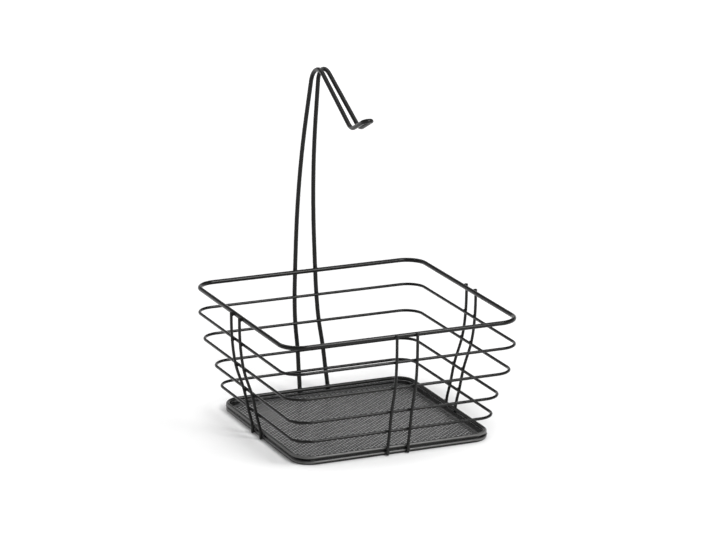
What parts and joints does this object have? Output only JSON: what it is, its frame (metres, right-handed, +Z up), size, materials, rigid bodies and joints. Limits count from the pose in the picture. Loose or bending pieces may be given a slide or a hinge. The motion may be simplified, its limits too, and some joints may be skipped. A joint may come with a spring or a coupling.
{
  "type": "wire fruit basket with banana hook",
  "caption": "Square open fruit basket of welded black wire hoops round a mesh floor, with a tall hairpin hook at the back that hangs a bunch of bananas over it.",
  "frame": {"origin": "on the table, under the middle of the outside of the basket and hook, at the bottom of the lower base ring", "axes": "+Z up, -Y to the front, where the hook's tip points, +Y to the back, where the hook's legs stand, +X to the right as seen from the front"},
  "size_m": [0.2618, 0.2632, 0.3532],
  "materials": {
    "wire_black": "satin black powder coat on round steel wire",
    "mesh_black": "satin black powder coat on expanded steel mesh"
  },
  "bodies": {
    "root": {"rim": "wire_black", "hoop_1": "wire_black", "hoop_2": "wire_black", "hoop_3": "wire_black", "hoop_4": "wire_black", "base_ring_upper": "wire_black", "base_ring_lower": "wire_black", "upright_left_back": "wire_black", "upright_left_front": "wire_black", "upright_front_left": "wire_black", "upright_front_right": "wire_black", "upright_right_front": "wire_black", "upright_right_back": "wire_black", "banana_hook": "wire_black", "mesh_tray": "mesh_black"}
  },
  "joints": []
}
